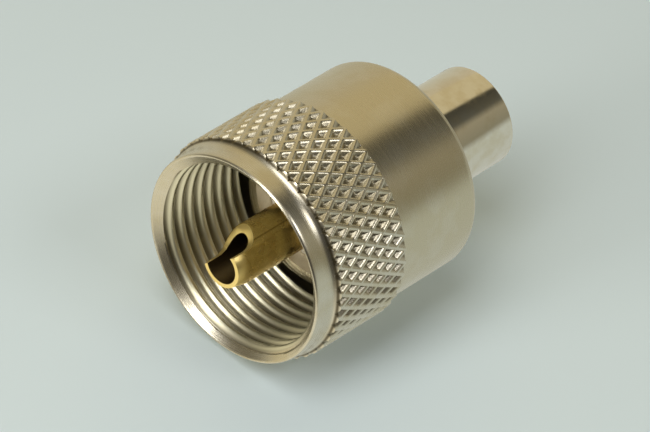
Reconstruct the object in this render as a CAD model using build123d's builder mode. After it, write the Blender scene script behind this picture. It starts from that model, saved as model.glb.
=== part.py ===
import math
import os

from build123d import *

# Threaded coaxial cable plug, standing on its cable end with its mouth up.
# The origin is the centre of the cable end face, and +Z runs along the plug's
# axis to the mouth. All sizes are in millimetres.

# Rear barrel: the polished tube that takes the cable and traps the nut
cable_bore_radius = 2.6
cable_bore_edge = 0.3
spigot_wall = 0.7
spigot_length = 4.2
barrel_wall = 0.75
barrel_length = 8.8
barrel_edge = 0.15

# Coupling nut: smooth rear half, knurled grip, thin lip at the mouth
thread_minor_radius = 7.43
thread_length = 8.5
relief_depth = 0.57
nut_wall = 0.5
nut_length = 17.7
nut_rear_round = 0.8
nut_back_thickness = 2.3
grip_height = 0.5
grip_shoulder_length = 0.7
grip_end_bevel = 0.25
lip_length = 1.5
lip_edge = 0.2
mouth_bevel_depth = 0.7

# Knurl on the grip: two sets of slanting ridges that cross, with a pit in each space
knurl_ridges = 48
knurl_rows = 7
knurl_row_pitch = 0.98
knurl_depth = 0.34
knurl_rooting = 0.3

# Running gaps between the captive nut and the pieces that it turns on
neck_clearance = 0.06
end_gap = 0.1

# Body: the turned shell, with the flange that holds the nut on
neck_step = 0.25
flange_gap = 0.23
flange_thickness = 2.5
flange_edge = 0.25
collar_step = 1.0
collar_wall = 0.95
collar_length = 4.7
collar_edge = 0.15
seat_web_thickness = 1.5
notch_count = 4
notch_width = 2.2
notch_depth = 0.9
notch_angle = 80

# Insulator: the plastic plug that centres the pin in the body
insulator_length = 4.5
insulator_edge = 0.3

# Centre pin: a hollow brass pin with a solder notch milled in its tip
pin_radius = 2.0
pin_wall = 0.6
pin_reach = 10.5
pin_tip_drop = 0.25
pin_tip_taper = 1.3
pin_shank_step = 0.3
pin_shank_wall = 0.7
tip_notch_floor = 0.45
tip_notch_floor_length = 2.03
tip_notch_back_angle = 49
tip_notch_corner_radius = 1.8
tip_notch_direction = -13

# Radii worked out from the sizes above, from the cable bore outwards
spigot_radius = cable_bore_radius + spigot_wall
barrel_radius = spigot_radius + barrel_wall
neck_radius = spigot_radius + neck_step
nut_hole_radius = neck_radius + neck_clearance
relief_radius = thread_minor_radius + relief_depth
nut_radius = relief_radius + nut_wall
grip_radius = nut_radius + grip_height
knurl_pit_radius = grip_radius - knurl_depth
knurl_core_radius = nut_radius - knurl_rooting
mouth_edge_radius = nut_radius - lip_edge
flange_radius = thread_minor_radius - flange_gap
collar_radius = flange_radius - collar_step
collar_bore_radius = collar_radius - collar_wall
pin_bore_radius = pin_radius - pin_wall
pin_tip_radius = pin_radius - pin_tip_drop
pin_shank_radius = pin_radius - pin_shank_step
pin_shank_bore_radius = pin_shank_radius - pin_shank_wall

# Heights worked out from the sizes above
nut_rear_z = barrel_length + end_gap
nut_back_z = nut_rear_z + nut_back_thickness
nut_front_z = nut_rear_z + nut_length
grip_front_z = nut_front_z - lip_length - grip_shoulder_length
grip_rear_z = grip_front_z - knurl_rows * knurl_row_pitch
knurl_front_z = grip_front_z + grip_shoulder_length * (grip_height + knurl_rooting) / grip_height
knurl_rear_z = grip_rear_z - grip_end_bevel * (grip_height + knurl_rooting) / grip_height
thread_end_z = nut_front_z - thread_length
flange_rear_z = nut_back_z + end_gap
flange_front_z = flange_rear_z + flange_thickness
collar_front_z = flange_front_z + collar_length
insulator_rear_z = flange_rear_z + seat_web_thickness
insulator_front_z = insulator_rear_z + insulator_length
pin_tip_z = insulator_front_z + pin_reach
spigot_rear_z = barrel_length - spigot_length

os.makedirs("parts", exist_ok=True)

# Rear barrel, bored for the cable and counterbored for the body's spigot
with BuildPart() as rear_barrel:
    with BuildSketch(Plane.XZ):
        with BuildLine():
            Polyline(
                (cable_bore_radius, spigot_rear_z),
                (cable_bore_radius, cable_bore_edge),
                (cable_bore_radius + cable_bore_edge, 0),
                (barrel_radius - barrel_edge, 0),
                (barrel_radius, barrel_edge),
                (barrel_radius, barrel_length - barrel_edge),
                (barrel_radius - barrel_edge, barrel_length),
                (spigot_radius, barrel_length),
                (spigot_radius, spigot_rear_z),
                close=True,
            )
        make_face()
    revolve(axis=Axis.Z)
rear_barrel.part.label = "rear_barrel"

# Body: spigot and neck, nut flange, and the castellated collar round the insulator
with BuildPart() as body:
    with BuildSketch(Plane.XZ):
        with BuildLine():
            Polyline(
                (cable_bore_radius, insulator_rear_z),
                (cable_bore_radius, spigot_rear_z),
                (spigot_radius, spigot_rear_z),
                (spigot_radius, barrel_length),
                (neck_radius, barrel_length),
                (neck_radius, flange_rear_z),
                (flange_radius - flange_edge, flange_rear_z),
                (flange_radius, flange_rear_z + flange_edge),
                (flange_radius, flange_front_z - flange_edge),
                (flange_radius - flange_edge, flange_front_z),
                (collar_radius, flange_front_z),
                (collar_radius, collar_front_z - collar_edge),
                (collar_radius - collar_edge, collar_front_z),
                (collar_bore_radius, collar_front_z),
                (collar_bore_radius, insulator_rear_z),
                close=True,
            )
        make_face()
    revolve(axis=Axis.Z)
    # Locking notches across the collar's front face
    with BuildSketch(Plane.XY.offset(collar_front_z)):
        with PolarLocations(
            (collar_radius + collar_bore_radius) / 2, notch_count, start_angle=notch_angle
        ):
            Rectangle(2 * (collar_radius - collar_bore_radius), notch_width)
    extrude(amount=-notch_depth, mode=Mode.SUBTRACT)
body.part.label = "body"


def knurl_ring(first_radius, second_radius, z):
    # One ring of points round the nut, with two radii in turn
    ring = []
    for i in range(2 * knurl_ridges):
        turn = math.pi * i / knurl_ridges
        radius = second_radius if i % 2 else first_radius
        ring.append(Vector(radius * math.cos(turn), radius * math.sin(turn), z))
    return ring


def knurl_band():
    # Rings of crossings and pits in turn, closed inside the nut's wall at both ends
    rings = [knurl_ring(knurl_core_radius, knurl_core_radius, knurl_front_z)]
    for row in range(knurl_rows + 1):
        row_z = grip_front_z - row * knurl_row_pitch
        if row % 2:
            rings.append(knurl_ring(knurl_pit_radius, grip_radius, row_z))
        else:
            rings.append(knurl_ring(grip_radius, knurl_pit_radius, row_z))
    rings.append(knurl_ring(knurl_core_radius, knurl_core_radius, knurl_rear_z))
    facets = [rings[0], rings[-1]]
    for row, (upper, lower) in enumerate(zip(rings, rings[1:])):
        for i in range(len(upper)):
            j = (i + 1) % len(upper)
            # A ridge joins the two corners of each cell that are crossings
            if (i + row) % 2:
                facets += [(upper[i], upper[j], lower[j]), (upper[i], lower[j], lower[i])]
            else:
                facets += [(upper[i], upper[j], lower[i]), (upper[j], lower[j], lower[i])]
    return Solid(Shell([Face(Wire.make_polygon(facet)) for facet in facets]))


# Coupling nut: turned outside, knurled, then bored from the mouth
with BuildPart() as coupling_nut:
    with BuildSketch(Plane.XZ):
        with BuildLine():
            Polyline((0, nut_front_z), (0, nut_rear_z), (nut_radius - nut_rear_round, nut_rear_z))
            RadiusArc(
                (nut_radius - nut_rear_round, nut_rear_z),
                (nut_radius, nut_rear_z + nut_rear_round),
                -nut_rear_round,
            )
            Polyline(
                (nut_radius, nut_rear_z + nut_rear_round),
                (nut_radius, nut_front_z),
                (0, nut_front_z),
            )
        make_face()
    revolve(axis=Axis.Z)
    add(knurl_band())
    # Thread bore with its mouth bevel, relief groove, and the hole for the body's neck
    with BuildSketch(Plane.XZ):
        with BuildLine():
            Polyline(
                (0, nut_rear_z),
                (nut_hole_radius, nut_rear_z),
                (nut_hole_radius, nut_back_z),
                (relief_radius, nut_back_z),
                (relief_radius, thread_end_z - relief_depth),
                (thread_minor_radius, thread_end_z),
                (thread_minor_radius, nut_front_z - mouth_bevel_depth),
                (mouth_edge_radius, nut_front_z),
                (0, nut_front_z),
                close=True,
            )
        make_face()
    revolve(axis=Axis.Z, mode=Mode.SUBTRACT)
coupling_nut.part.label = "coupling_nut"

# Insulator, seated in the collar on the body's web
with BuildPart() as insulator:
    with BuildSketch(Plane.XZ):
        with BuildLine():
            Polyline(
                (pin_shank_radius, insulator_rear_z),
                (collar_bore_radius, insulator_rear_z),
                (collar_bore_radius, insulator_front_z - insulator_edge),
                (collar_bore_radius - insulator_edge, insulator_front_z),
                (pin_shank_radius, insulator_front_z),
                close=True,
            )
        make_face()
    revolve(axis=Axis.Z)
insulator.part.label = "insulator"

# Centre pin: a tube on a thinner shank, with the solder notch cut across its tip
with BuildPart() as centre_pin:
    with BuildSketch(Plane.XZ):
        with BuildLine():
            Polyline(
                (pin_shank_bore_radius, insulator_rear_z),
                (pin_shank_radius, insulator_rear_z),
                (pin_shank_radius, insulator_front_z),
                (pin_radius, insulator_front_z),
                (pin_radius, pin_tip_z - pin_tip_taper),
                (pin_tip_radius, pin_tip_z),
                (pin_bore_radius, pin_tip_z),
                (pin_bore_radius, insulator_front_z),
                (pin_shank_bore_radius, insulator_front_z - pin_bore_radius + pin_shank_bore_radius),
                close=True,
            )
        make_face()
    revolve(axis=Axis.Z)
    # The notch's floor runs beside the axis, and a round corner leads to its sloping back wall
    notch_back_z = pin_tip_z - tip_notch_floor_length
    notch_rise = (2 * pin_radius - tip_notch_floor) / math.tan(math.radians(tip_notch_back_angle))
    notch_plane = Plane(
        origin=(0, 0, 0),
        x_dir=(
            math.cos(math.radians(tip_notch_direction)),
            math.sin(math.radians(tip_notch_direction)),
            0,
        ),
        z_dir=(
            math.sin(math.radians(tip_notch_direction)),
            -math.cos(math.radians(tip_notch_direction)),
            0,
        ),
    )
    with BuildSketch(notch_plane):
        with BuildLine():
            FilletPolyline(
                (2 * pin_radius, pin_tip_z + pin_radius),
                (tip_notch_floor, pin_tip_z + pin_radius),
                (tip_notch_floor, notch_back_z),
                (2 * pin_radius, notch_back_z - notch_rise),
                radius=(0, tip_notch_corner_radius),
            )
            Line(
                (2 * pin_radius, notch_back_z - notch_rise),
                (2 * pin_radius, pin_tip_z + pin_radius),
            )
        make_face()
    extrude(amount=2 * pin_radius, both=True, mode=Mode.SUBTRACT)
centre_pin.part.label = "centre_pin"

export_step(rear_barrel.part, "parts/rear_barrel.step")
export_step(body.part, "parts/body.step")
export_step(coupling_nut.part, "parts/coupling_nut.step")
export_step(insulator.part, "parts/insulator.step")
export_step(centre_pin.part, "parts/centre_pin.step")
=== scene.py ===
import math

import bpy
import numpy as np
from mathutils import Matrix, Vector


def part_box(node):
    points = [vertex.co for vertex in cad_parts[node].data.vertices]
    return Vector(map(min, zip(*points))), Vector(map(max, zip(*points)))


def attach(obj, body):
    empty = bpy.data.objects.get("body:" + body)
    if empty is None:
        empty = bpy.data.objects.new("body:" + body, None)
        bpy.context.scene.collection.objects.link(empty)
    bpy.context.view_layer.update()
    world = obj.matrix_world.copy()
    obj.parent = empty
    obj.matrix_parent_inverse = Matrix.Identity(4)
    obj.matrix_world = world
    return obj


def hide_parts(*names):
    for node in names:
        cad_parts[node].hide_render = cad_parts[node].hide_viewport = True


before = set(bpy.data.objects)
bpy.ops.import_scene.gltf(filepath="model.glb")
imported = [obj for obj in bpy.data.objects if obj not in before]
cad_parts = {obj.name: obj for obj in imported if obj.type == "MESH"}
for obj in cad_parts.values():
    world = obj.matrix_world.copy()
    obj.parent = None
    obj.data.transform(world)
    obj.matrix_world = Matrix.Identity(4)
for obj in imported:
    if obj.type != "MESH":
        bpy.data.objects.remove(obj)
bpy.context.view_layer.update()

# Lengths in the dictionaries are millimetres, angles are degrees.
# The plug stands on its cable end, so a height is measured from that end.
mm = 0.001
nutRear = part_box("coupling_nut")[0].z / mm
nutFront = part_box("coupling_nut")[1].z / mm
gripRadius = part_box("coupling_nut")[1].x / mm
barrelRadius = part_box("rear_barrel")[1].x / mm
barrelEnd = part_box("rear_barrel")[1].z / mm
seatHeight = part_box("insulator")[0].z / mm
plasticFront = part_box("insulator")[1].z / mm
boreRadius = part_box("insulator")[1].x / mm
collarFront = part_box("body")[1].z / mm
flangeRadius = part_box("body")[1].x / mm
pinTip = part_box("centre_pin")[1].z / mm


# Mesh helpers

def addPiece(name, points, faces, material, crease=30):
    mesh = bpy.data.meshes.new(name)
    mesh.from_pydata((np.asarray(points, float) * mm).tolist(), [], faces)
    mesh.validate()
    mesh.polygons.foreach_set("use_smooth", [True] * len(mesh.polygons))
    mesh.set_sharp_from_angle(angle=math.radians(crease))
    mesh.materials.append(material)
    piece = bpy.data.objects.new(name, mesh)
    bpy.context.scene.collection.objects.link(piece)
    return piece


def weldPoints(piece, distance):
    bpy.context.view_layer.objects.active = piece
    weld = piece.modifiers.new("weld", "WELD")
    weld.merge_threshold = distance * mm
    bpy.ops.object.modifier_apply(modifier="weld")


def roundedOutline(corners, steps=4):
    # each corner is (radius, height, edge rounding); a rounding of 0 keeps the corner
    outline = []
    count = len(corners)
    for i, (r, z, edge) in enumerate(corners):
        here = Vector((r, z))
        if edge == 0:
            outline.append((r, z))
            continue
        before = (Vector(corners[i - 1][:2]) - here).normalized()
        after = (Vector(corners[(i + 1) % count][:2]) - here).normalized()
        half = before.angle(after) / 2
        reach = edge / math.tan(half)
        centre = here + (before + after).normalized() * (edge / math.sin(half))
        start = here + before * reach - centre
        turn = start.angle_signed(here + after * reach - centre)
        for k in range(steps + 1):
            outline.append(tuple(centre + Matrix.Rotation(-turn * k / steps, 2) @ start))
    return outline


def ringPoints(radii, heights, columns):
    angles = 2 * math.pi * np.arange(columns) / columns
    return np.stack([radii * np.cos(angles), radii * np.sin(angles), heights + 0 * angles], 1)


def turnedPiece(name, corners, material, columns=160, crease=35):
    outline = roundedOutline(corners)
    points = np.concatenate([ringPoints(r, z, columns) for r, z in outline])
    faces = []
    for i in range(len(outline)):
        j = (i + 1) % len(outline)
        for k in range(columns):
            n = (k + 1) % columns
            faces.append((i * columns + k, i * columns + n, j * columns + n, j * columns + k))
    return addPiece(name, points, faces, material, crease)


def prismPoints(outline, along, across, reach):
    # an outline in the (along, height) plane, drawn out to both sides
    low, high = [], []
    for a, z in outline:
        low.append(tuple(along * a - across * reach + Vector((0, 0, z))))
        high.append(tuple(along * a + across * reach + Vector((0, 0, z))))
    count = len(outline)
    faces = [tuple(range(count)), tuple(range(2 * count - 1, count - 1, -1))]
    for i in range(count):
        j = (i + 1) % count
        faces.append((j, i, count + i, count + j))
    return low + high, faces


def cutAndEase(piece, cutter, edge, crease=30):
    # takes the cutter out of the piece, then eases the sharp edges
    bpy.context.view_layer.objects.active = piece
    cut = piece.modifiers.new("cut", "BOOLEAN")
    cut.operation, cut.solver, cut.object = "DIFFERENCE", "EXACT", cutter
    bpy.ops.object.modifier_apply(modifier="cut")
    bpy.data.objects.remove(cutter)
    ease = piece.modifiers.new("ease", "BEVEL")
    ease.width, ease.segments = edge * mm, 2
    ease.limit_method, ease.angle_limit = "ANGLE", math.radians(crease)
    bpy.ops.object.modifier_apply(modifier="ease")
    piece.data.polygons.foreach_set("use_smooth", [True] * len(piece.data.polygons))
    piece.data.set_sharp_from_angle(angle=math.radians(crease))


# Shader helpers

class Wire:
    def __init__(self, kit, socket):
        self.kit, self.socket = kit, socket

    def other(self, name):
        return Wire(self.kit, self.socket.node.outputs[name])

    def __add__(self, value):
        return self.kit.maths("ADD", self, value)

    def __radd__(self, value):
        return self.kit.maths("ADD", value, self)

    def __sub__(self, value):
        return self.kit.maths("SUBTRACT", self, value)

    def __rsub__(self, value):
        return self.kit.maths("SUBTRACT", value, self)

    def __mul__(self, value):
        return self.kit.maths("MULTIPLY", self, value)

    def __rmul__(self, value):
        return self.kit.maths("MULTIPLY", value, self)

    def __truediv__(self, value):
        return self.kit.maths("DIVIDE", self, value)

    def __rtruediv__(self, value):
        return self.kit.maths("DIVIDE", value, self)


class NodeKit:
    def __init__(self, tree):
        self.tree = tree
        tree.nodes.clear()

    def node(self, kind, settings, inputs, output=0):
        made = self.tree.nodes.new(kind)
        for key, value in settings.items():
            if key == "stops":
                self.setStops(made.color_ramp, value)
            else:
                setattr(made, key, value)
        for key, value in inputs.items():
            if isinstance(value, Wire):
                self.tree.links.new(value.socket, made.inputs[key])
            else:
                made.inputs[key].default_value = value
        return Wire(self, made.outputs[output]) if made.outputs else made

    def setStops(self, ramp, stops):
        while len(ramp.elements) > 1:
            ramp.elements.remove(ramp.elements[-1])
        ramp.elements[0].position = stops[0][0]
        ramp.elements[0].color = (*stops[0][1], 1)
        for place, colour in stops[1:]:
            ramp.elements.new(place).color = (*colour, 1)

    def maths(self, operation, a, b=0.0):
        return self.node("ShaderNodeMath", {"operation": operation}, {0: a, 1: b})

    def clamped(self, a):
        return self.node("ShaderNodeMath", {"operation": "ADD", "use_clamp": True}, {0: a, 1: 0.0})

    def between(self, value, low, high):
        # 0 below low, 1 above high, with a soft step between them
        return self.node("ShaderNodeMapRange", {"interpolation_type": "SMOOTHSTEP"},
                         {"Value": value, "From Min": low, "From Max": high})

    def band(self, value, start, full, fade, end):
        # 1 from full to fade, with a soft step at each side
        return self.between(value, start, full) * (1 - self.between(value, fade, end))

    def mix(self, amount, first, second):
        first = first if isinstance(first, Wire) else (*first, 1)
        second = second if isinstance(second, Wire) else (*second, 1)
        return self.node("ShaderNodeMix", {"data_type": "RGBA"}, {0: amount, 6: first, 7: second}, 2)

    def noise(self, where, scale=1.0, detail=2.0, roughness=0.5):
        return self.node("ShaderNodeTexNoise", {},
                         {"Vector": where, "Scale": scale, "Detail": detail, "Roughness": roughness})

    def vector(self, x, y, z):
        return self.node("ShaderNodeCombineXYZ", {}, {"X": x, "Y": y, "Z": z})


class TurnedPlace:
    # where a shaded point lies on a turned piece, in millimetres
    def __init__(self, kit):
        place = kit.node("ShaderNodeTexCoord", {}, {}, "Object")
        self.point = kit.node("ShaderNodeVectorMath", {"operation": "SCALE"},
                              {0: place, "Scale": 1 / mm})
        x = kit.node("ShaderNodeSeparateXYZ", {}, {"Vector": self.point}, "X")
        y, self.height = x.other("Y"), x.other("Z")
        self.radius = kit.maths("SQRT", x * x + y * y)
        self.turn = kit.maths("ARCTAN2", y, x)  # radians round the axis
        self.cosine, self.sine = x / (self.radius + 0.001), y / (self.radius + 0.001)

    def lathe(self, kit, grain):
        # long thin cells that follow the tool round the piece, on its sides and on its faces;
        # a grain is their spread round the axis and how many go to a millimetre along it
        spread, fineness = grain
        travel = (self.height + self.radius) * fineness
        return kit.vector(self.cosine * spread, self.sine * spread, travel)


def newMaterial(name):
    material = bpy.data.materials.new(name)
    material.use_nodes = True
    return material, NodeKit(material.node_tree)


def finishMaterial(kit, shader):
    kit.node("ShaderNodeOutputMaterial", {}, {"Surface": shader})


def finishMetal(kit, colour, roughness, height, distance):
    bump = kit.node("ShaderNodeBump", {}, {"Height": height, "Strength": 1.0, "Distance": distance * mm})
    finishMaterial(kit, kit.node("ShaderNodeBsdfPrincipled", {}, {
        "Base Color": colour,
        "Metallic": 1.0,
        "Roughness": roughness,
        "Normal": bump,
    }))


# Camera at the photograph's viewing angle, turned so that the mouth points down to the left

cameraView = {
    "elevation": 37.35,
    "roll": -121.1,
    "aim": (-0.75, 0.0, 17.2),
    "distance": 424.0,
    "lens": 316.0,
    "sensor": 36.0,
    "clip": (10.0, 5000.0),
}


def addCamera():
    tilt, roll = math.radians(cameraView["elevation"]), math.radians(cameraView["roll"])
    back = Vector((0, -math.cos(tilt), math.sin(tilt)))
    side, lift = Vector((1, 0, 0)), Vector((0, math.sin(tilt), math.cos(tilt)))
    right = math.cos(roll) * side + math.sin(roll) * lift
    up = -math.sin(roll) * side + math.cos(roll) * lift
    camera = bpy.data.objects.new("photoCamera", bpy.data.cameras.new("photoCamera"))
    camera.data.lens, camera.data.sensor_width = cameraView["lens"], cameraView["sensor"]
    camera.data.clip_start, camera.data.clip_end = (reach * mm for reach in cameraView["clip"])
    camera.matrix_world = Matrix((right, up, back)).transposed().to_4x4()
    camera.location = (Vector(cameraView["aim"]) + back * cameraView["distance"]) * mm
    bpy.context.scene.collection.objects.link(camera)
    bpy.context.scene.camera = camera


addCamera()
print("camera set")


# Nickel plate on the nut: satin turning marks, grime and painted shade in the knurl pits and the thread
# roots, painted shade in the corner behind the lip

# depths are measured in from the rim, and a mask runs from its first value to its last
nutPlate = {
    "bright": (0.66, 0.63, 0.54),
    "warm": (0.60, 0.55, 0.42),
    "thread": (0.74, 0.72, 0.57),
    "grimeAndShade": (0.13, 0.11, 0.07),
    "roughness": 0.27,
    "roughnessSpread": 0.10,
    "threadRoughness": 0.06,
    "grimeAndShadeRoughness": 0.1,
    "markHeight": 0.0060,
    "fineShare": 0.4,
    "threadMarks": 0.25,
    "markGrain": (3.0, 9.0),
    "fineGrain": (9.0, 30.0),
    "patchScale": 0.35,
    "patches": (0.35, 0.7),
    "rearWarmth": 0.6,
    "rearDepths": (9.2, 9.6),
    "knurlDepths": (1.9, 2.3, 9.1, 9.4),
    "threadDepths": (0.65, 0.75),
    "outsideRadii": (8.2, 8.3),
    "pitRadii": (8.66, 8.93),
    "rootRadii": (7.55, 7.92),
    # pits and thread roots take the dark colour above: grime together with painted shade in these
    # recesses
    "pitGrimeAndShade": 0.5,
    "rootGrimeAndShade": 0.8,
    # the corner behind the lip takes the same dark colour as painted shade: a dark line where the metal
    # mirrors dark surroundings
    "cornerPaintedShade": 0.95,
    "cornerDepths": (1.75, 1.9, 2.1, 2.3),
    "cornerRadii": (8.8, 8.95),
}


def nutNickel():
    look = nutPlate
    material, kit = newMaterial("nutNickel")
    place = TurnedPlace(kit)
    depth = nutFront - place.height
    marks = kit.noise(place.lathe(kit, look["markGrain"]), detail=3.0, roughness=0.6)
    fineMarks = kit.noise(place.lathe(kit, look["fineGrain"]), roughness=0.6)
    patches = kit.noise(place.point, look["patchScale"], detail=3.0, roughness=0.55)
    patches = kit.between(patches, *look["patches"])
    outside = kit.between(place.radius, *look["outsideRadii"])
    inThread = (1 - outside) * kit.between(depth, *look["threadDepths"])
    warmth = kit.clamped(patches + kit.between(depth, *look["rearDepths"]) * look["rearWarmth"])
    colour = kit.mix(warmth, look["bright"], look["warm"])
    colour = kit.mix(inThread, colour, look["thread"])
    # grime and painted shade in the knurl pits and in the thread roots, where shade falls
    pit = 1 - kit.between(place.radius, *look["pitRadii"])
    pit = pit * kit.band(depth, *look["knurlDepths"]) * outside
    root = kit.between(place.radius, *look["rootRadii"]) * inThread
    # painted shade: a dark line in the corner between the lip's hollow curve and the knurl
    corner = 1 - kit.between(place.radius, *look["cornerRadii"])
    corner = corner * kit.band(depth, *look["cornerDepths"]) * outside
    grimeAndShade = kit.clamped(pit * look["pitGrimeAndShade"] + root * look["rootGrimeAndShade"] + corner * look["cornerPaintedShade"])
    roughness = look["roughness"] + (marks - 0.5) * look["roughnessSpread"]
    roughness = roughness + grimeAndShade * look["grimeAndShadeRoughness"] + inThread * look["threadRoughness"]
    height = marks * (1 - look["fineShare"]) + fineMarks * look["fineShare"]
    height = height * (look["threadMarks"] + outside * (1 - look["threadMarks"]))
    finishMetal(kit, kit.mix(grimeAndShade, colour, look["grimeAndShade"]), roughness, height, look["markHeight"])
    return material


# The coupling nut: knurled outside, threaded inside

nut = {
    "outerColumns": 672,
    "innerColumns": 224,
    "radius": 8.5,
    "lipLength": 1.08,
    "lipEdge": (0.16, 0.36),  # inward and back from the rim
    "shoulderLength": 0.93,
    "gripStart": 2.2,
    "gripLength": 6.86,
    "rearBevel": 0.25,
    "rearRound": 0.8,
    "ridges": 48,
    "knurlPitch": 1.96,
    "knurlSteps": 14,
    "knurlDepth": 0.34,
    "ridgeShape": (1.0, 0.96, 0.84, 0.66, 0.42, 0.18, 0.05, 0.0),
    "mouthRadius": 8.3,
    "mouthEdge": 0.05,
    "bevelDepth": 0.7,
    "threadPitch": 1.058,
    "threadSteps": 14,
    "crestRadius": 7.43,
    "rootRadius": 7.94,
    "crestFlat": 0.09,
    "rootFlat": 0.02,
    "flankEase": 0.6,
    "firstCrest": 0.20,
    "firstCrestAngle": 90,
    "threadLength": 8.5,
    "reliefRadius": 8.0,
    "reliefStart": 0.1,
    "wallThickness": 2.3,
    "wallEdge": 0.15,
    "holeRadius": 3.61,
    "holeEdge": 0.1,
    "holeLand": 1.0,
    "crease": 40,
    "weld": 0.002,
}


def knurlHeight(u, v):
    # 1 on a ridge and 0 in the middle of a pit; u counts ridges round the nut, v along it
    def ridge(a):
        away = np.abs(a - np.round(a)) * 2 * (len(nut["ridgeShape"]) - 1)
        return np.interp(away, range(len(nut["ridgeShape"])), nut["ridgeShape"])

    return np.maximum(ridge(u + v), ridge(u - v))


def outerRows(gripFront, gripRear):
    # heights of the rings on the outside, rear to mouth, with the smooth radius of each
    r, rounding, (inward, back) = nut["radius"], nut["rearRound"], nut["lipEdge"]
    smoothFront = gripRear - nut["rearBevel"]
    rows = [(r - rounding + rounding * math.sin(a), nutRear + rounding * (1 - math.cos(a)), False)
            for a in np.linspace(0, math.pi / 2, 10)]
    rows += [(r, z, False) for z in np.linspace(nutRear + rounding, smoothFront, 6)[1:]]
    step = nut["knurlPitch"] / nut["knurlSteps"]
    first = math.ceil((smoothFront - gripFront) / step)
    last = math.floor((nut["gripStart"] - nut["lipLength"]) / step)
    rows += [(gripRadius, gripFront + k * step, True) for k in range(first, last + 1)]
    rows += [(r, z, False) for z in np.linspace(nutFront - nut["lipLength"], nutFront - back, 4)]
    rows += [(r - inward + inward * math.cos(a), nutFront - back + back * math.sin(a), False)
             for a in np.linspace(0, math.pi / 2, 7)[1:]]
    return rows


def knurledSkin(gripFront, gripRear):
    columns = nut["outerColumns"]
    u = nut["ridges"] * np.arange(columns) / columns
    step = gripRadius - nut["radius"]
    rows = outerRows(gripFront, gripRear)
    rings = []
    for radius, z, knurled in rows:
        if knurled:
            v = (z - gripFront) / nut["knurlPitch"]
            surface = gripRadius - nut["knurlDepth"] * (1 - knurlHeight(u, v))
            reach = np.clip((nutFront - nut["lipLength"] - z) / nut["shoulderLength"], 0, 1)
            front = gripRadius - step * math.sqrt(1 - reach ** 2)  # a hollow curve up from the lip
            rear = gripRadius - step * (gripRear - z) / nut["rearBevel"]
            radius = np.minimum(surface, max(min(front, rear), nut["radius"]))
        rings.append(ringPoints(radius, z, columns))
    faces = []
    for i in range(len(rows) - 1):
        v = ((rows[i][1] + rows[i + 1][1]) / 2 - gripFront) / nut["knurlPitch"]
        for k in range(columns):
            a, b = i * columns + k, i * columns + (k + 1) % columns
            c, d = b + columns, a + columns
            if not (rows[i][2] or rows[i + 1][2]):
                faces.append((a, b, c, d))
                continue
            middle = (k + 0.5) * nut["ridges"] / columns
            rising = abs(middle - v - round(middle - v)) < abs(middle + v - round(middle + v))
            faces += [(a, b, c), (a, c, d)] if rising else [(a, b, d), (b, c, d)]
    return np.concatenate(rings), faces


def threadRadius(depth, turn):
    # depth is measured in from the rim, and the crests climb one pitch in a turn
    climbed = (turn - math.radians(nut["firstCrestAngle"])) / (2 * math.pi)
    phase = (depth - nut["firstCrest"]) / nut["threadPitch"] + climbed
    away = np.abs(phase - np.round(phase))
    slope = np.clip((away - nut["crestFlat"]) / (0.5 - nut["crestFlat"] - nut["rootFlat"]), 0, 1)
    eased = slope * slope * (3 - 2 * slope)
    slope += nut["flankEase"] * (eased - slope)
    thread = nut["crestRadius"] + (nut["rootRadius"] - nut["crestRadius"]) * slope
    bevel = nut["mouthRadius"] - (nut["mouthRadius"] - nut["crestRadius"]) * depth / nut["bevelDepth"]
    relief = nut["crestRadius"] + (depth - nut["threadLength"])
    return np.maximum(thread, np.maximum(bevel, relief))


def threadedSkin():
    columns, steps = nut["innerColumns"], nut["threadSteps"]
    turn = 2 * math.pi * np.arange(columns) / columns
    end = nut["threadLength"] + nut["reliefRadius"] - nut["crestRadius"]
    climb = nut["threadPitch"] * turn / (2 * math.pi)
    edge = nut["mouthEdge"]
    rings = [ringPoints(nut["mouthRadius"] + edge, nutFront, columns),
             ringPoints(nut["mouthRadius"], nutFront - edge / 3, columns)]
    first = len(rings)
    count = math.ceil((end / nut["threadPitch"] + 1) * steps)
    for k in range(count + 1):
        depth = np.clip(k * nut["threadPitch"] / steps - climb, edge, end)
        radius = np.where(depth < nut["bevelDepth"], nut["rootRadius"] + 1, nut["reliefRadius"])
        radius = np.minimum(threadRadius(depth, turn), radius)
        rings.append(ringPoints(radius, nutFront - depth, columns))
    wall = nutRear + nut["wallThickness"]
    for r, z in roundedOutline([
        (nut["reliefRadius"], nutFront - end - nut["reliefStart"], 0),
        (nut["reliefRadius"], wall, nut["wallEdge"]),
        (nut["holeRadius"], wall, nut["holeEdge"]),
        (nut["holeRadius"], nutRear, nut["holeEdge"]),
        (nut["holeRadius"] + nut["holeLand"], nutRear, 0),
    ]):
        rings.append(ringPoints(r, z, columns))
    faces = []
    for i in range(len(rings) - 1):
        for k in range(columns - 1):
            a, b = i * columns + k, i * columns + k + 1
            faces.append((a, b, b + columns, a + columns))
        # a turn of the thread ends where the turn one pitch nearer the rim began
        here, below = ((max(j - steps, first) if first <= j <= first + count else j) for j in (i, i + 1))
        a = (i + 1) * columns - 1
        faces.append((a, here * columns, below * columns, a + columns))
    return np.concatenate(rings), faces


def seamFaces(outerStart, innerStart, facingUp):
    # joins a ring of the outer skin to one of the inner skin, which has fewer points
    faces = []
    outer, inner = nut["outerColumns"], nut["innerColumns"]
    share = outer // inner
    for k in range(inner):
        rim = [outerStart + (share * k + s) % outer for s in range(share + 1)]
        face = (*rim, innerStart + (k + 1) % inner, innerStart + k)
        faces.append(face if facingUp else face[::-1])
    return faces


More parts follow.
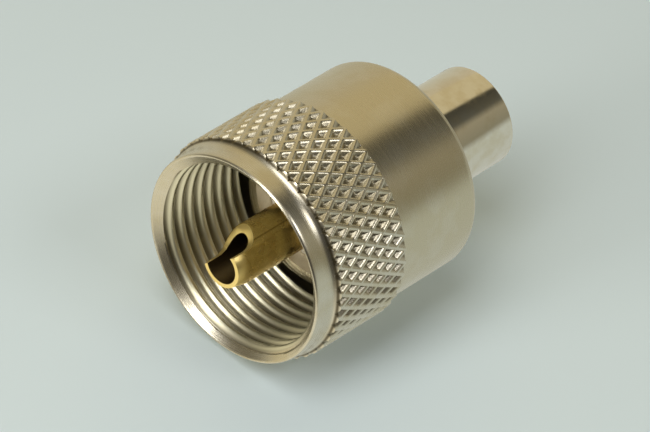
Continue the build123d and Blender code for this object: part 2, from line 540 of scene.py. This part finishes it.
def addNut(material):
    gripFront = nutFront - nut["gripStart"]
    outside, outerFaces = knurledSkin(gripFront, gripFront - nut["gripLength"])
    inside, innerFaces = threadedSkin()
    shift = len(outside)
    faces = outerFaces + [tuple(i + shift for i in face) for face in innerFaces]
    faces += seamFaces(shift - nut["outerColumns"], shift, True)
    faces += seamFaces(0, shift + len(inside) - nut["innerColumns"], False)
    points = np.concatenate([outside, inside])
    piece = addPiece("knurledNut", points, faces, material, nut["crease"])
    weldPoints(piece, nut["weld"])
    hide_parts("coupling_nut")
    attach(piece, "coupling_nut")


addNut(nutNickel())
print("nut made")


# Polished nickel on the rear barrel

barrelPlate = {
    "bright": (0.74, 0.71, 0.63),
    "warm": (0.68, 0.63, 0.51),
    "smearScale": 0.6,
    "warmSmears": (0.4, 0.7),
    "roughness": 0.10,
    "haze": 0.10,
    "hazySmears": (0.45, 0.75),
    "markGrain": (6.0, 16.0),
    "markHeight": 0.0008,
}


def barrelNickel():
    look = barrelPlate
    material, kit = newMaterial("barrelNickel")
    place = TurnedPlace(kit)
    smears = kit.noise(place.point, look["smearScale"], detail=4.0, roughness=0.6)
    marks = kit.noise(place.lathe(kit, look["markGrain"]))
    colour = kit.mix(kit.between(smears, *look["warmSmears"]), look["bright"], look["warm"])
    roughness = look["roughness"] + kit.between(smears, *look["hazySmears"]) * look["haze"]
    finishMetal(kit, colour, roughness, marks, look["markHeight"])
    return material


# The rear barrel, a tube with a counterbore for the body's spigot

barrel = {
    "bore": 2.6,
    "boreEdge": 0.3,
    "boreRounding": (0.1, 0.05),
    "counterbore": 3.3,
    "counterboreFloor": 4.6,
    "edge": 0.15,
}


def addBarrel(material):
    inner, outer = barrel["boreRounding"]
    piece = turnedPiece("rearBarrel", [
        (barrel["bore"], barrel["counterboreFloor"], 0),
        (barrel["bore"], barrel["boreEdge"], inner),
        (barrel["bore"] + barrel["boreEdge"], 0, outer),
        (barrelRadius, 0, barrel["edge"]),
        (barrelRadius, barrelEnd, barrel["edge"]),
        (barrel["counterbore"], barrelEnd, 0),
        (barrel["counterbore"], barrel["counterboreFloor"], 0),
    ], material, columns=256)
    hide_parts("rear_barrel")
    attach(piece, "plug_body")


addBarrel(barrelNickel())
print("barrel made")


# Turned nickel on the body

bodyPlate = {
    "bright": (0.78, 0.73, 0.61),
    "dull": (0.62, 0.56, 0.43),
    "patchScale": 0.8,
    "patches": (0.4, 0.75),
    "roughness": 0.22,
    "roughnessSpread": 0.1,
    "markGrain": (4.0, 12.0),
    "markHeight": 0.002,
}


def bodyNickel():
    look = bodyPlate
    material, kit = newMaterial("bodyNickel")
    place = TurnedPlace(kit)
    marks = kit.noise(place.lathe(kit, look["markGrain"]), detail=3.0, roughness=0.6)
    patches = kit.noise(place.point, look["patchScale"], detail=3.0, roughness=0.6)
    patches = kit.between(patches, *look["patches"])
    roughness = look["roughness"] + (marks - 0.5) * look["roughnessSpread"]
    colour = kit.mix(patches, look["bright"], look["dull"])
    finishMetal(kit, colour, roughness, marks, look["markHeight"])
    return material


# The body: spigot, neck and flange in one turning, with the notched collar in front

body = {
    "bore": 2.6,
    "spigot": 3.3,
    "spigotEnd": 4.6,
    "neck": 3.55,
    "flangeBack": 11.3,
    "flangeFront": 13.8,
    "flangeEdge": 0.25,
    "collar": 6.2,
    "collarEdge": 0.15,
    "notches": 4,
    "notchAngle": 80,
    "notchWidth": 2.2,
    "notchDepth": 0.9,
    "notchMargin": 0.8,
    "edge": 0.05,
}


def notchCutter(material):
    points, faces = [], []
    floor, top = collarFront - body["notchDepth"], collarFront + body["notchMargin"]
    near, far = boreRadius - body["notchMargin"], body["collar"] + body["notchMargin"]
    for k in range(body["notches"]):
        turn = math.radians(body["notchAngle"] + 360 * k / body["notches"])
        out = Vector((math.cos(turn), math.sin(turn), 0))
        across = Vector((-math.sin(turn), math.cos(turn), 0))
        start = len(points)
        block, sides = prismPoints([(near, floor), (far, floor), (far, top), (near, top)],
                                   out, across, body["notchWidth"] / 2)
        points += block
        faces += [tuple(i + start for i in side) for side in sides]
    return addPiece("notchCutter", points, faces, material)


def addBody(material):
    piece = turnedPiece("notchedBody", [
        (body["bore"], seatHeight, 0),
        (body["bore"], body["spigotEnd"], 0),
        (body["spigot"], body["spigotEnd"], 0),
        (body["spigot"], barrelEnd, 0),
        (body["neck"], barrelEnd, 0),
        (body["neck"], body["flangeBack"], 0),
        (flangeRadius - body["flangeEdge"], body["flangeBack"], 0),
        (flangeRadius, body["flangeBack"] + body["flangeEdge"], 0),
        (flangeRadius, body["flangeFront"] - body["flangeEdge"], 0),
        (flangeRadius - body["flangeEdge"], body["flangeFront"], 0),
        (body["collar"], body["flangeFront"], 0),
        (body["collar"], collarFront - body["collarEdge"], 0),
        (body["collar"] - body["collarEdge"], collarFront, 0),
        (boreRadius, collarFront, 0),
        (boreRadius, seatHeight, 0),
    ], material, columns=192)
    cutAndEase(piece, notchCutter(material), body["edge"])
    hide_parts("body")
    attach(piece, "plug_body")


addBody(bodyNickel())
print("body made")


# Ivory plastic of the insulator, a little soiled

plasticLook = {
    "colour": (0.93, 0.88, 0.78),
    "soil": (0.66, 0.58, 0.43),
    "soilShare": 0.6,
    "soilScale": 1.3,
    "soilPatches": (0.5, 0.8),
    "roughness": 0.38,
    "roughnessSpread": 0.2,
    "grainScale": 9.0,
    "grainStrength": 0.6,
    "grainHeight": 0.01,
}


def insulatorPlastic():
    look = plasticLook
    material, kit = newMaterial("insulatorPlastic")
    place = TurnedPlace(kit)
    grain = kit.noise(place.point, look["grainScale"], detail=3.0, roughness=0.6)
    soil = kit.noise(place.point, look["soilScale"], detail=4.0, roughness=0.65)
    soil = kit.between(soil, *look["soilPatches"])
    bump = kit.node("ShaderNodeBump", {}, {
        "Height": grain,
        "Strength": look["grainStrength"],
        "Distance": look["grainHeight"] * mm,
    })
    finishMaterial(kit, kit.node("ShaderNodeBsdfPrincipled", {}, {
        "Base Color": kit.mix(soil * look["soilShare"], look["colour"], look["soil"]),
        "Roughness": look["roughness"] + (grain - 0.5) * look["roughnessSpread"],
        "Normal": bump,
    }))
    return material


# The insulator: a plain plug with a hole for the pin's shank

insulator = {
    "hole": 1.7,
    "edge": 0.3,
}


def addInsulator(material):
    piece = turnedPiece("pinInsulator", [
        (insulator["hole"], seatHeight, 0),
        (boreRadius, seatHeight, 0),
        (boreRadius, plasticFront, insulator["edge"]),
        (insulator["hole"], plasticFront, 0),
    ], material, columns=128)
    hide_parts("insulator")
    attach(piece, "plug_body")


addInsulator(insulatorPlastic())
print("insulator made")


# The centre pin: a tube on a thinner shank, with the solder notch milled across its tip

pin = {
    "radius": 2.0,
    "bore": 1.4,
    "tipRadius": 1.75,
    "taper": 1.3,
    "shank": 1.7,
    "shankBore": 1.0,
    "notchDirection": -13,
    "notchFloor": 0.45,
    "notchLength": 2.03,
    "notchBack": 49,
    "notchCorner": 1.8,
    "edge": 0.05,
}


# Brass of the centre pin: tarnished, with a drawn seam, fresh where the tip was cut, and painted shade
# inside the bore

brassLook = {
    "bright": (0.84, 0.65, 0.25),
    "tarnish": (0.60, 0.43, 0.14),
    "patchScale": 0.9,
    "patches": (0.35, 0.7),
    "patchShare": 0.55,
    "streakGrain": (7.0, 0.35),
    "streaks": (0.45, 0.75),
    "streakShare": 0.35,
    "seam": (0.30, 0.20, 0.06),
    "seamShare": 0.8,
    "seamAngle": 283,
    "seamWidth": 0.05,
    "fresh": (0.98, 0.80, 0.34),
    "cutRadii": (1.94, 1.97),
    "tipFade": (0.1, 0.6),
    "tipShare": 0.6,
    # painted shade: the inside of the bore, darkened nearly to black
    "inside": (0.03, 0.018, 0.012),
    "boreShadeShare": 0.92,
    "boreRadii": (1.41, 1.44),
    "roughness": 0.26,
    "patchRoughness": 0.2,
    "boreRoughness": 0.2,
    "freshRoughness": 0.14,
    "ringGrain": (2.0, 14.0),
    "ringShare": 0.3,
    "streakHeight": 0.5,
    "markHeight": 0.006,
}


def pinBrass():
    look = brassLook
    material, kit = newMaterial("pinBrass")
    place = TurnedPlace(kit)
    patches = kit.noise(place.point, look["patchScale"], detail=4.0, roughness=0.6)
    spread, length = look["streakGrain"]
    along = kit.vector(place.cosine * spread, place.sine * spread, place.height * length)
    streaks = kit.noise(along, detail=3.0, roughness=0.6)
    rings = kit.noise(place.lathe(kit, look["ringGrain"]))
    tarnish = kit.between(patches, *look["patches"]) * look["patchShare"]
    tarnish = tarnish + kit.between(streaks, *look["streaks"]) * look["streakShare"]
    awayFromSeam = kit.maths("ABSOLUTE", place.turn - math.radians(look["seamAngle"] - 360))
    seam = 1 - kit.between(awayFromSeam, 0.0, look["seamWidth"])
    bore = 1 - kit.between(place.radius, *look["boreRadii"])
    cone = kit.clamped((place.height - (pinTip - pin["taper"])) / pin["taper"])  # 0 to 1 along the tip
    skin = place.radius + cone * (pin["radius"] - pin["tipRadius"])
    cut = 1 - kit.between(skin, *look["cutRadii"])  # the milled and faced metal
    fresh = kit.clamped(cut + kit.between(cone, *look["tipFade"]) * look["tipShare"]) * (1 - bore)
    colour = kit.mix(tarnish, look["bright"], look["tarnish"])
    colour = kit.mix(seam * look["seamShare"], colour, look["seam"])
    colour = kit.mix(fresh, colour, look["fresh"])
    # painted shade inside the bore
    colour = kit.mix(bore * look["boreShadeShare"], colour, look["inside"])
    roughness = look["roughness"] + (patches - 0.5) * look["patchRoughness"]
    roughness = roughness + bore * look["boreRoughness"] + fresh * look["freshRoughness"]
    height = rings * look["ringShare"] + streaks * look["streakHeight"] - seam * look["seamShare"]
    finishMetal(kit, colour, roughness, height, look["markHeight"])
    return material


def tipCutter(material):
    turn = math.radians(pin["notchDirection"])
    facing = Vector((math.cos(turn), math.sin(turn), 0))
    across = Vector((-math.sin(turn), math.cos(turn), 0))
    back, far, above = pinTip - pin["notchLength"], 2 * pin["radius"], pinTip + pin["radius"]
    rise = (far - pin["notchFloor"]) / math.tan(math.radians(pin["notchBack"]))
    outline = roundedOutline([
        (pin["notchFloor"], above, 0),
        (pin["notchFloor"], back, pin["notchCorner"]),
        (far, back - rise, 0),
        (far, above, 0),
    ], steps=10)
    points, faces = prismPoints(outline, facing, across, far)
    return addPiece("tipCutter", points, faces, material)


def addPin(material):
    piece = turnedPiece("solderPin", [
        (pin["shankBore"], seatHeight, 0),
        (pin["shank"], seatHeight, 0),
        (pin["shank"], plasticFront, 0),
        (pin["radius"], plasticFront, 0),
        (pin["radius"], pinTip - pin["taper"], 0),
        (pin["tipRadius"], pinTip, 0),
        (pin["bore"], pinTip, 0),
        (pin["bore"], plasticFront, 0),
        (pin["shankBore"], plasticFront - pin["bore"] + pin["shankBore"], 0),
    ], material, columns=192)
    cutAndEase(piece, tipCutter(material), pin["edge"])
    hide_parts("centre_pin")
    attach(piece, "plug_body")


addPin(pinBrass())
print("pin made")


# The pale surface that the plug lies on in the photograph, against the knurl.
# It shows from its front only, and the metal sees the studio instead.

surface = {
    "facing": 306,
    "colour": (0.69, 0.81, 0.88),
    "size": 3000,
}


def addSurface():
    material, kit = newMaterial("palePaper")
    behind = kit.node("ShaderNodeNewGeometry", {}, {}, "Backfacing")
    paper = kit.node("ShaderNodeBsdfDiffuse", {}, {"Color": (*surface["colour"], 1)})
    clear = kit.node("ShaderNodeBsdfTransparent", {}, {})
    finishMaterial(kit, kit.node("ShaderNodeMixShader", {}, {0: behind, 1: paper, 2: clear}))
    turn = math.radians(surface["facing"])
    normal = Vector((math.cos(turn), math.sin(turn), 0))
    side, half = Vector((-math.sin(turn), math.cos(turn), 0)), surface["size"] / 2
    lift = Vector((0, 0, half))
    centre = -gripRadius * normal
    points = [centre - side * half - lift, centre + side * half - lift,
              centre + side * half + lift, centre - side * half + lift]
    sheet = addPiece("paleSurface", [tuple(p) for p in points], [(0, 1, 2, 3)], material)
    sheet.visible_glossy = sheet.visible_diffuse = False
    sheet.visible_transmission = sheet.visible_shadow = False


addSurface()
print("surface laid")


# The studio: a soft room whose tone changes with direction, and three soft lamps

studio = {
    "backdrop": (0.60, 0.665, 0.625),
    # tones by the fraction of a turn from +X: what the sides of the standing plug mirror
    "lowTones": [
        (0.00, (0.65, 0.56, 0.38)),
        (0.16, (0.60, 0.58, 0.46)),
        (0.30, (0.58, 0.60, 0.54)),
        (0.58, (0.60, 0.63, 0.56)),
        (0.62, (0.29, 0.27, 0.19)),
        (0.66, (0.32, 0.29, 0.20)),
        (0.71, (0.36, 0.32, 0.22)),
        (0.75, (0.11, 0.105, 0.08)),
        (0.835, (0.06, 0.055, 0.04)),
        (0.85, (0.67, 0.57, 0.35)),
    ],
    # what the shoulder, the knurl and the thread mirror from above the rim
    "highTones": [
        (0.00, (0.15, 0.13, 0.09)),
        (0.08, (0.18, 0.16, 0.11)),
        (0.115, (0.84, 0.76, 0.54)),
        (0.30, (0.92, 0.87, 0.70)),
        (0.48, (0.94, 0.89, 0.72)),
        (0.54, (0.45, 0.42, 0.33)),
        (0.575, (0.05, 0.045, 0.035)),
        (0.72, (0.04, 0.036, 0.03)),
        (0.775, (0.06, 0.055, 0.045)),
        (0.81, (0.60, 0.56, 0.44)),
        (0.95, (0.14, 0.125, 0.085)),
    ],
    "topTones": [
        (0.00, (0.10, 0.09, 0.065)),
        (0.28, (0.12, 0.11, 0.08)),
        (0.38, (0.90, 0.84, 0.66)),
        (0.50, (0.90, 0.84, 0.66)),
        (0.58, (0.10, 0.09, 0.065)),
    ],
    "underside": (0.45, 0.43, 0.34),
    # where one tone gives way to the next, by the height of a direction from -1 to 1
    "undersideFade": (-0.85, -0.97),
    "highFade": (-0.25, 0.2),
    "topFade": (0.86, 0.95),
}


def addStudio():
    world = bpy.data.worlds.new("studio")
    bpy.context.scene.world = world
    world.use_nodes = True
    kit = NodeKit(world.node_tree)
    heading = kit.node("ShaderNodeTexCoord", {}, {}, "Generated")
    x = kit.node("ShaderNodeSeparateXYZ", {}, {"Vector": heading}, "X")
    height = x.other("Z")
    turn = kit.maths("FRACT", kit.maths("ARCTAN2", x.other("Y"), x) / (2 * math.pi))
    low, high, top = (kit.node("ShaderNodeValToRGB", {"stops": studio[tones]}, {"Fac": turn})
                      for tones in ("lowTones", "highTones", "topTones"))
    tone = kit.mix(kit.between(height, *studio["undersideFade"]), low, studio["underside"])
    tone = kit.mix(kit.between(height, *studio["highFade"]), tone, high)
    tone = kit.mix(kit.between(height, *studio["topFade"]), tone, top)
    seen = kit.node("ShaderNodeLightPath", {}, {}, "Is Camera Ray")
    shown = kit.node("ShaderNodeBackground", {}, {"Color": kit.mix(seen, tone, studio["backdrop"])})
    kit.node("ShaderNodeOutputWorld", {}, {"Surface": shown})


lampDistance = 320
lamps = [
    {
        "name": "keyLamp",
        "turn": 305,
        "elevation": 30,
        "size": (165, 300),
        "power": 0.47,
        "colour": (1.0, 0.98, 0.95),
    },
    {
        "name": "sideLamp",
        "turn": 264,
        "elevation": -6,
        "size": (90, 130),
        "power": 0.15,
        "colour": (1.0, 0.98, 0.95),
    },
    {
        "name": "windowLamp",
        "turn": 335,
        "elevation": 70,
        "size": (90, 90),
        "power": 0.26,
        "colour": (1.0, 0.96, 0.88),
    },
]


def addLamp(look):
    light = bpy.data.lights.new(look["name"], "AREA")
    light.shape = "RECTANGLE"
    light.size, light.size_y = (side * mm for side in look["size"])
    light.energy, light.color = look["power"], look["colour"]
    turn, lift = math.radians(look["turn"]), math.radians(look["elevation"])
    away = Vector((math.cos(turn) * math.cos(lift), math.sin(turn) * math.cos(lift), math.sin(lift)))
    lamp = bpy.data.objects.new(look["name"], light)
    lamp.location = (Vector(cameraView["aim"]) + away * lampDistance) * mm
    lamp.rotation_mode = "QUATERNION"
    lamp.rotation_quaternion = away.to_track_quat("Z", "Y")
    bpy.context.scene.collection.objects.link(lamp)


addStudio()
for look in lamps:
    addLamp(look)
bpy.context.scene.view_settings.view_transform = "Standard"
print("studio lit")
